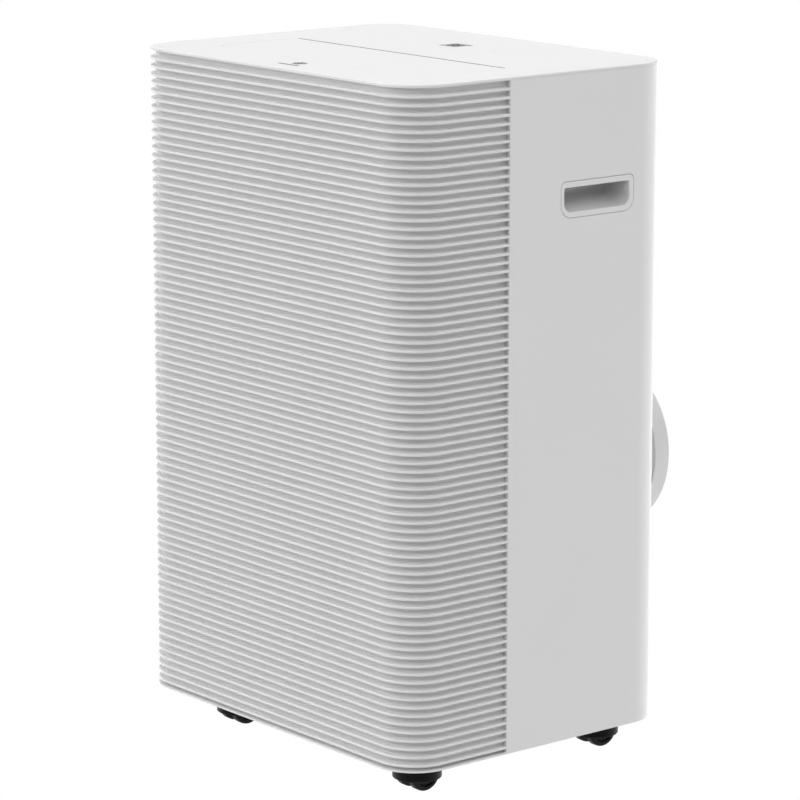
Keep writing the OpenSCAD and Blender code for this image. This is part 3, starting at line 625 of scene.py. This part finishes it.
def intake_grille(node, body, columns):
    """A frame of level slats in columns, parted by upright bars."""
    low, high = node_box(node)
    edge, bar, gap = 6.0, 6.0, 5.5
    rows = int((high.z - low.z - 2 * edge) / RIB_PITCH)
    width = (high.x - low.x - 2 * edge - (columns - 1) * bar) / columns
    holes = []
    for i in range(rows):
        for j in range(columns):
            x, z = low.x + edge + j * (width + bar), low.z + edge + i * RIB_PITCH
            holes.append(round_rect(x, z, x + width, z + gap, (1.2,) * 4, 3))
    b = Builder()
    b.slab(round_rect(low.x, low.z, high.x, high.z, (1.5,) * 4, 3), low.y, high.y, on_xz, holes,
           r_low=0.4, r_high=1.2)
    b.piece(node + "_slats", body, node, CASING)


def filter_cartridge(node, body):
    """A filter frame with a woven net of fine strands."""
    low, high = node_box(node)
    edge, mid_x, mid_z = 6.0, (low.x + high.x) / 2, (low.z + high.z) / 2
    holes = [round_rect(x0, z0, x1, z1, (1.5,) * 4, 3)
             for x0, x1 in ((low.x + edge, mid_x - 2), (mid_x + 2, high.x - edge))
             for z0, z1 in ((low.z + edge, mid_z - 2), (mid_z + 2, high.z - edge))]
    b = Builder()
    b.slab(round_rect(low.x, low.z, high.x, high.z, (2,) * 4, 3), low.y, high.y, on_xz, holes,
           r_low=0.5, r_high=0.5)
    pitch, half, mid, tuck = 1.8, 0.22, (low.y + high.y) / 2, 3
    for i in range(1, int((high.x - low.x - 2 * tuck) / pitch)):
        x = low.x + tuck + i * pitch
        strand = [(x - half, mid - half), (x + half, mid - half), (x + half, mid), (x - half, mid)]
        b.rings([[(u, v, z) for u, v in strand] for z in (low.z + tuck, high.z - tuck)])
    for i in range(1, int((high.z - low.z - 2 * tuck) / pitch)):
        z = low.z + tuck + i * pitch
        strand = [(mid, z - half), (mid + half, z - half), (mid + half, z + half), (mid, z + half)]
        b.rings([[(x, u, v) for u, v in strand] for x in (low.x + tuck, high.x - tuck)])
    b.piece(node + "_net", body, node, NET)


def coil(node):
    """A heat exchanger: fine fins on tubes, end plates, and return bends at both ends."""
    low, high = node_box(node)
    y0, y1 = low.y, high.y
    mid = (y0 + y1) / 2
    bend_reach, plate, bend_r, row_pitch = 11.5, 2, 8, 40
    x0, x1 = low.x + bend_reach, high.x - bend_reach
    pitch, half, fin_y0, fin_y1 = 2.0, 0.1, y0 + 2, y1 - 2
    fins = Builder()
    for i in range(int((x1 - x0 - 6) / pitch)):
        x = x0 + 4 + i * pitch
        fin = [(x - half, fin_y0), (x + half, fin_y0), (x + half, fin_y1), (x - half, fin_y1)]
        fins.rings([[(u, v, z) for u, v in fin] for z in (low.z + 3, high.z - 3)])
    for x in (x0, x1 - plate):
        fins.block((x, y0, low.z), (x + plate, y1, high.z), 0.4)
    fins.piece(node + "_fins", "housing", node, FINS)
    tubes = Builder()
    for i in range(int((high.z - low.z - 6) / row_pitch)):
        z = low.z + 23 + i * row_pitch
        for offset in (-bend_r, bend_r):
            tubes.rod((x0 + 2.2, mid + offset, z), (x1 - 2.2, mid + offset, z), 3.5, 12)
        for x, facing in ((x0 - 0.2, 180), (x1 + 0.2, 0)):
            bend = arc(x, mid, bend_r, facing - 90, 180, 10)
            tubes.tube([(u, v, z) for u, v in bend], 3.4)
    tubes.piece(node + "_tubes", "housing", None, COPPER)


# ---- Exhaust, plugs and cord gland

def exhaust_collar():
    """A short round collar with a rounded lip, a groove inside for the hose's clips, and its inner spigot."""
    low, high = node_box("exhaust_collar")
    x, z = rear_centre("exhaust_collar")
    r = (high.x - low.x) / 2
    tip, base, inner_end = high.y, REAR + SEAM, low.y
    bore, lip, floor_r, corner = r - 5, 1.2, r - 2.5, 0.6
    groove_low, groove_high = REAR + 26, REAR + 40
    profile = [(bore, base + 6), (bore, tip - lip)]
    profile += [(bore + lip + u, tip - lip + v) for u, v in arc(0, 0, lip, 180, -90, 5)]
    profile += [(r - lip + u, tip - lip + v) for u, v in arc(0, 0, lip, 90, -90, 5)]
    profile += [(r, groove_high + corner), (r - corner, groove_high), (floor_r, groove_high),
                (floor_r, groove_low), (r - corner, groove_low), (r, groove_low - corner),
                (r, base + 0.4), (r - 0.4, base), (SPIGOT_R, base), (SPIGOT_R, inner_end + 0.8),
                (SPIGOT_R - 0.8, inner_end), (SPIGOT_R - 3, inner_end), (SPIGOT_R - 3, base + 3)]
    b = Builder()
    b.lathe(profile, (x, 0, z), "Y", 160)
    b.piece("exhaust_collar_ring", "collar", "exhaust_collar", CASING)


def drain_plug(node, body):
    """A rubber plug with a grooved stem, a round cap and a grip across it."""
    low, high = node_box(node)
    x, z = rear_centre(node)
    end, face = low.y, REAR + SEAM
    stem = [(0, end), (5.2, end), (6, end + 0.8), (6, end + 4), (5.6, end + 4.5), (5.6, end + 6),
            (6, end + 6.5), (6, face)]
    cap = [(10.4, face), (11, face + 0.6), (11, face + 3.4), (10, face + 4.6), (0, face + 4.7)]
    b = Builder()
    b.lathe(stem + cap, (x, 0, z), "Y", 40)
    b.slab(round_rect(x - 1.5, z - 9, x + 1.5, z + 9, (1.4,) * 4, 4), face + 4, high.y, on_xz, r_high=0.7)
    b.piece(node + "_cap", body, node, RUBBER)


def cord_gland():
    """A rubber gland: a flange on the panel and a tapered, ringed sleeve round the cord's way out."""
    low, high = node_box("cord_gland")
    x, z = rear_centre("cord_gland")
    profile = [(4.5, low.y), (9.6, low.y), (9.6, REAR), (12.6, REAR), (13, REAR + 0.4), (13, REAR + 2.4),
               (12.4, REAR + 3), (9.4, REAR + 3.6)]
    for i in range(4):
        y = REAR + 4.6 + i * 2.8
        r = 8.8 - i * 0.5
        profile += [(r, y), (r, y + 1.2), (r - 0.9, y + 1.5), (r - 0.9, y + 2.4)]
    profile += [(6.4, high.y - 0.4), (6.0, high.y), (4.5, high.y)]
    b = Builder()
    b.lathe(profile, (x, 0, z), "Y", 48)
    b.piece("cord_gland_boot", "housing", "cord_gland", RUBBER)


# ---- Castors

def castor(number):
    """A domed hood on a stem, and two dished wheels on one axle under it."""
    fork, wheels = f"castor_fork_{number}", f"castor_wheels_{number}"
    low, high = node_box(fork)
    wheel_low, wheel_high = node_box(wheels)
    x, y = (low.x + high.x) / 2, (low.y + high.y) / 2
    r = (high.x - low.x) / 2
    hood_low, hood_high, wall, roof, dome = 12.5, 41.7, 1.6, 3.5, 9.0
    inner_r, trail = r - wall, 6
    axle = (wheel_low.z + wheel_high.z) / 2
    tread = (wheel_high.z - wheel_low.z) / 2
    b = Builder()
    profile = [(0, hood_high), (r - dome, hood_high)]
    profile += [(r - dome + u, hood_high - dome + v) for u, v in arc(0, 0, dome, 90, -90, 8)]
    profile += [(r, hood_low + 0.6), (r - 0.5, hood_low), (inner_r + 0.4, hood_low),
                (inner_r, hood_low + 0.4)]
    profile += [(r - dome + u, hood_high - roof - dome + wall + v)
                for u, v in arc(0, 0, dome - wall, 0, 90, 8)]
    profile += [(0, hood_high - roof)]
    b.lathe(profile, (x, y, 0), "Z", 72)
    b.block((x - 5.7, y - 12, axle - 7), (x + 5.7, y + 12, hood_high - 2.5), 1.2)
    b.rod((x, y - trail, hood_high - 1), (x, y - trail, high.z), 5.0, 28, 0.8)
    b.piece(f"castor_hood_{number}", f"castor_{number}", fork, CASTOR)
    w = Builder()
    inner, outer = 6.0, 15.5
    for side in (-1, 1):
        shape = [(0, inner), (tread - 1, inner), (tread, inner + 1), (tread, outer - 2.6)]
        shape += [(tread - 2.6 + u, outer - 2.6 + v) for u, v in arc(0, 0, 2.6, 20, 70, 5)]
        shape += [(tread - 4.4, outer), (tread - 5.2, outer - 0.5), (tread - 6, outer - 1.5),
                  (6, outer - 1.5), (5.4, outer - 0.6), (4.6, outer - 0.3), (0, outer - 0.3)]
        w.lathe([(radius, side * across) for radius, across in shape], (x, y, axle), "X", 72)
    w.rod((x - 6.5, y, axle), (x + 6.5, y, axle), 2.5, 20)
    w.piece(f"castor_wheel_pair_{number}", f"castor_roll_{number}", wheels, WHEEL)


# ---- Printed marks on the top, and painted shade in the flap's slot

MARK_LOW, MARK_HIGH = TOP - 0.08, TOP - 0.005


def stroke(b, points, width, low, high):
    """A flat printed line of one width through a list of points."""
    for (x0, y0), (x1, y1) in zip(points, points[1:]):
        length = math.hypot(x1 - x0, y1 - y0)
        ux, uy = (x1 - x0) / length, (y1 - y0) / length
        corners = [(x0, y0, -1, -1), (x1, y1, 1, -1), (x1, y1, 1, 1), (x0, y0, -1, 1)]
        half = width / 2
        ring = [(x + ux * half * a - uy * half * c, y + uy * half * a + ux * half * c)
                for x, y, a, c in corners]
        b.rings([[(u, v, z) for u, v in ring] for z in (low, high)])


def snowflake(b, x, y, size, width, low, high):
    """Six arms, each with a pair of side branches."""
    branch = 0.36 * size
    for i in range(6):
        a = math.radians(60 * i)
        tip = (x + size * math.cos(a), y + size * math.sin(a))
        stroke(b, [(x, y), tip], width, low, high)
        for turn in (-50, 50):
            c = a + math.radians(turn)
            root = (x + 0.55 * size * math.cos(a), y + 0.55 * size * math.sin(a))
            end = (root[0] + branch * math.cos(c), root[1] + branch * math.sin(c))
            stroke(b, [root, end], width, low, high)


def fan_mark(b, x, y, size, width, low, high):
    """Three curved fan blades."""
    for i in range(3):
        a = math.radians(120 * i)
        blade = arc(x + 0.5 * size * math.cos(a), y + 0.5 * size * math.sin(a), 0.5 * size,
                    120 * i + 180, 190, 8)
        stroke(b, blade, width, low, high)


def drop(b, x, y, size, width, low, high):
    """The outline of a drop of water."""
    tip = (x, y + size)
    bowl = arc(x, y - 0.3 * size, 0.62 * size, 155, 230, 12)
    stroke(b, [tip, *bowl, tip], width, low, high)


def clock(b, x, y, size, width, low, high):
    """A clock face with two hands."""
    stroke(b, arc(x, y, size, 0, 360, 20), width, low, high)
    stroke(b, [(x, y + 0.6 * size), (x, y), (x + 0.45 * size, y)], width, low, high)


def power(b, x, y, size, width, low, high):
    """An open ring with a bar in its gap."""
    stroke(b, arc(x, y, size, 125, 290, 18), width, low, high)
    stroke(b, [(x, y + 0.1 * size), (x, y + 1.1 * size)], width, low, high)


def arrows(b, x, y, size, width, low, high):
    """One arrowhead up and one down."""
    reach = 0.7 * size
    for way in (-1, 1):
        foot = y + way * 0.25 * size
        stroke(b, [(x - reach, foot), (x, y + way * size), (x + reach, foot)], width, low, high)


def segment_digit(b, x, y, width, height, thick, low, high):
    """A seven-segment figure with every segment lit."""
    reach = 0.32 * width
    for row in (-1, 0, 1):
        level = y + row * height / 2
        stroke(b, [(x - reach, level), (x + reach, level)], thick, low, high)
    for side in (-1, 1):
        upright = x + side * width / 2
        for row in (-1, 1):
            stroke(b, [(upright, y + row * 0.12 * height), (upright, y + row * 0.42 * height)],
                   thick, low, high)


def touch_marks():
    """Faint marks in a row behind the flap, in line with the display."""
    low, high = node_box("display_window")
    cx, row = (low.x + high.x) / 2, (low.y + high.y) / 2 - 3
    pitch = 32
    marks = {-3: power, -2: arrows, -1: fan_mark, 1: drop, 2: clock, 3: snowflake}
    b = Builder()
    for place, mark in marks.items():
        mark(b, cx + place * pitch, row, 4.0, 0.6, MARK_LOW, MARK_HIGH)
    b.piece("touch_marks", "housing", None, FAINT)


def slot_painted_shade():
    """Painted shade: a thin dark strip along the far wall of the slot behind the flap, standing in for the
    shadow in the slot.
    """
    back = FLAP_HIGH.y + FLAP_SLOT
    b = Builder()
    b.block((-FLAP_X + 1, back - 0.25, UNDER_TOP + 0.5), (FLAP_X - 1, back - 0.02, TOP - 0.12), 0.05)
    # The black rubber finish here only paints the slot's shade dark; the strip is no real seal
    b.piece("slot_painted_shade", "housing", None, RUBBER)


def display_figures():
    """Two large figures in the display's pane, with small marks in its near left and far right corners."""
    low, high = node_box("display_window")
    cx, cy = (low.x + high.x) / 2, (low.y + high.y) / 2
    z0, z1 = TOP - 0.13, TOP - 0.04
    apart, corner, dot_r = 4.6, 10.6, 1.6
    b = Builder()
    for x in (-apart, apart):
        segment_digit(b, cx + x, cy, 5.6, 13.0, 2.4, z0, z1)
    for away in (-corner, corner):
        for u, v in ((-1.9, -1.2), (1.9, -1.2), (0, 1.9)):
            b.slab(disc(cx + away + u, cy + away + v, dot_r, 20), z0, z1, r_low=0.01, r_high=0.01)
    b.piece("display_figures", "housing", None, ICON_DARK)


def front_mark():
    """A small snowflake over three short dashes, in front of the flap."""
    x, dash_y, pitch, half = 9.0, FRONT + 23, 10, 4
    b = Builder()
    snowflake(b, x, FRONT + 37, 7.5, 2.2, MARK_LOW, MARK_HIGH)
    for i in (-1, 0, 1):
        stroke(b, [(x + i * pitch - half, dash_y), (x + i * pitch + half, dash_y)], 4.2, MARK_LOW, MARK_HIGH)
    b.piece("front_mark", "housing", None, ICON)


# ---- Build

front_grille()
side_panel(1, "side_panel_right_skin")
side_panel(-1, "side_panel_left_skin")
top_rim()
top_deck()
rear_panel()
rear_screws()
handle_cup(1, "handle_cup_right")
handle_cup(-1, "handle_cup_left")
louvre_flap()
for number in range(1, 6):
    air_vane(number)
intake_grille("upper_grille", "upper_cartridge", 3)
intake_grille("lower_grille", "lower_cartridge", 2)
filter_cartridge("upper_filter", "upper_cartridge")
filter_cartridge("lower_filter", "lower_cartridge")
coil("condenser_coil")
coil("evaporator_coil")
exhaust_collar()
drain_plug("upper_drain_plug", "upper_plug")
drain_plug("lower_drain_plug", "lower_plug")
cord_gland()
for number in range(1, 5):
    castor(number)
# Painted shade in the slot behind the flap
slot_painted_shade()
touch_marks()
display_figures()
front_mark()

# Inner pieces that keep their CAD shape
CARRIED = {
    DUCT: ["outlet_duct", "vane_frame", "vane_link", "exhaust_elbow", "condenser_scroll",
           "evaporator_scroll", "mid_deck"],
    FAN: ["condenser_wheel", "evaporator_wheel"],
    BOARD: ["display_board", "main_board"],
    MOTOR: ["flap_motor", "vane_motor", "condenser_motor", "evaporator_motor"],
    ENAMEL: ["compressor", "accumulator"],
    RUBBER: ["compressor_mounts"],
    ZINC: ["compressor_bolts", "control_box"],
    COPPER: ["suction_pipe", "discharge_pipe", "capillary_tube"],
    CAN: ["capacitor"],
    BASE: ["base_pan", "splash_pump"],
}
for finish, names in CARRIED.items():
    for name in names:
        carried = frame["nodes"][name]
        carried.data.materials.clear()
        carried.data.materials.append(finish)


# ---- Floor, light and camera

def emission(name, color, strength):
    """A plain glowing surface."""
    mat = bpy.data.materials.new(name)
    mat.use_nodes = True
    nodes = mat.node_tree.nodes
    nodes.clear()
    glow = nodes.new("ShaderNodeEmission")
    glow.inputs["Color"].default_value = (*color, 1)
    glow.inputs["Strength"].default_value = strength
    out = nodes.new("ShaderNodeOutputMaterial")
    mat.node_tree.links.new(glow.outputs["Emission"], out.inputs["Surface"])
    return mat


def floor():
    """A white floor that neither lights nor shades the object."""
    bpy.ops.mesh.primitive_plane_add(size=80, location=(0, 0, 0))
    plane = bpy.context.object
    plane.name = "studio_floor"
    plane.data.materials.append(emission("floor_white", (1, 1, 1), 1.0))
    plane.visible_diffuse = False
    plane.visible_glossy = False
    plane.visible_shadow = False


# Light against height, 0 straight below and 1 overhead: from the front, from the right, and from the
# left and behind
GLOW_FRONT = [(0.30, 1.25), (0.40, 0.0), (0.62, 0.3), (0.72, 3.0), (0.85, 3.0), (0.92, 0.7)]
GLOW_RIGHT = [(0.30, 1.25), (0.40, 0.0), (0.68, 0.0), (0.75, 1.78), (0.84, 1.78), (0.92, 0.7)]
GLOW_REST = [(0.30, 1.25), (0.35, 3.4), (0.46, 3.4), (0.50, 0.0), (0.66, 0.0), (0.74, 2.9), (0.84, 2.9),
             (0.92, 0.7)]
GLOW_TOP = 4.0


def studio_world():
    """Soft light from high all round, strongest over the front, weakest over the right, with a low glow
    behind."""
    world = bpy.data.worlds.new("studio")
    bpy.context.scene.world = world
    world.use_nodes = True
    nodes, links = world.node_tree.nodes, world.node_tree.links
    coords = nodes.new("ShaderNodeTexCoord")
    split = nodes.new("ShaderNodeSeparateXYZ")
    links.new(coords.outputs["Generated"], split.inputs["Vector"])

    def math_node(operation, *values):
        node = nodes.new("ShaderNodeMath")
        node.operation = operation
        for socket, value in zip(node.inputs, values):
            if isinstance(value, (int, float)):
                socket.default_value = value
            else:
                links.new(value, socket)
        return node.outputs["Value"]

    def glow(stops):
        ramp = nodes.new("ShaderNodeValToRGB")
        while len(ramp.color_ramp.elements) < len(stops):
            ramp.color_ramp.elements.new(0.5)
        for element, (place, value) in zip(ramp.color_ramp.elements, stops):
            element.position = place
            element.color = (*[value / GLOW_TOP] * 3, 1)
        links.new(height, ramp.inputs["Fac"])
        return ramp.outputs["Color"]

    x, y, z = (split.outputs[axis] for axis in "XYZ")
    height = math_node("MULTIPLY_ADD", z, 0.5, 0.5)
    x_part, y_part = math_node("MULTIPLY", x, x), math_node("MULTIPLY", y, y)
    level = math_node("ADD", math_node("ADD", x_part, y_part), 1e-6)
    front = math_node("MULTIPLY", math_node("DIVIDE", y_part, level), math_node("LESS_THAN", y, 0.0))
    right = math_node("MULTIPLY", math_node("DIVIDE", x_part, level), math_node("GREATER_THAN", x, 0.0))
    rest = math_node("SUBTRACT", math_node("SUBTRACT", 1.0, front), right)
    parts = [math_node("MULTIPLY", share, glow(stops))
             for share, stops in ((front, GLOW_FRONT), (right, GLOW_RIGHT), (rest, GLOW_REST))]
    background = nodes["Background"]
    links.new(math_node("ADD", math_node("ADD", parts[0], parts[1]), parts[2]), background.inputs["Color"])
    background.inputs["Strength"].default_value = GLOW_TOP


def camera():
    """A long lens that looks at the front right corner from a little above."""
    azimuth, elevation = math.radians(50.914), math.radians(12.015)
    level = math.cos(elevation)
    back = Vector((math.sin(azimuth) * level, -math.cos(azimuth) * level, math.sin(elevation)))
    data = bpy.data.cameras.new("camera")
    data.lens = 168.3
    data.sensor_width = 36.0
    data.clip_end = 100.0
    cam = bpy.data.objects.new("camera", data)
    cam.location = (RIGHT * MM + 2.7204, FRONT * MM - 2.2199, BOTTOM * MM + 1.1276)
    cam.rotation_mode = "QUATERNION"
    cam.rotation_quaternion = (-back).to_track_quat("-Z", "Y")
    bpy.context.scene.collection.objects.link(cam)
    bpy.context.scene.camera = cam


floor()
studio_world()
bpy.context.scene.view_settings.view_transform = "Standard"
camera()
